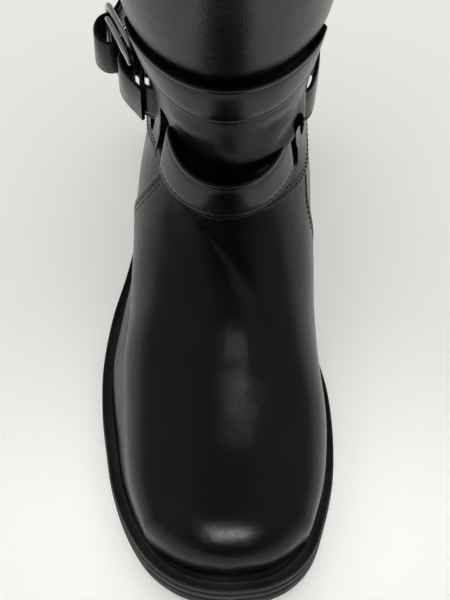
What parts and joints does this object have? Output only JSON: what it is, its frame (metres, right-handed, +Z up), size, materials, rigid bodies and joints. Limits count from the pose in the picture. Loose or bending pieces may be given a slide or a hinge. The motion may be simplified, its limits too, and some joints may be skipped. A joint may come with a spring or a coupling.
{
  "type": "leather boot",
  "caption": "Pull-on leather boot for the right foot: a tall hollow upper on a welted rubber sole with a block heel, woven ankle straps and a ring buckle.",
  "frame": {"origin": "middle of the heel's ground face", "axes": "+Z up from the ground, the toe points to -Y, +X is the big toe's side (medial)"},
  "size_m": [0.1138, 0.286, 0.27],
  "materials": {
    "leather": "glossy fine grain",
    "welt": "satin",
    "sole": "satin",
    "insole": "matte",
    "ring": "polished"
  },
  "bodies": {
    "root": {"outsole": "sole", "heel": "sole", "welt": "welt", "insole": "insole", "upper": "leather", "strap_lower": "leather", "strap_upper": "leather", "ring_outer": "ring", "ring_inner": "ring"}
  },
  "joints": []
}
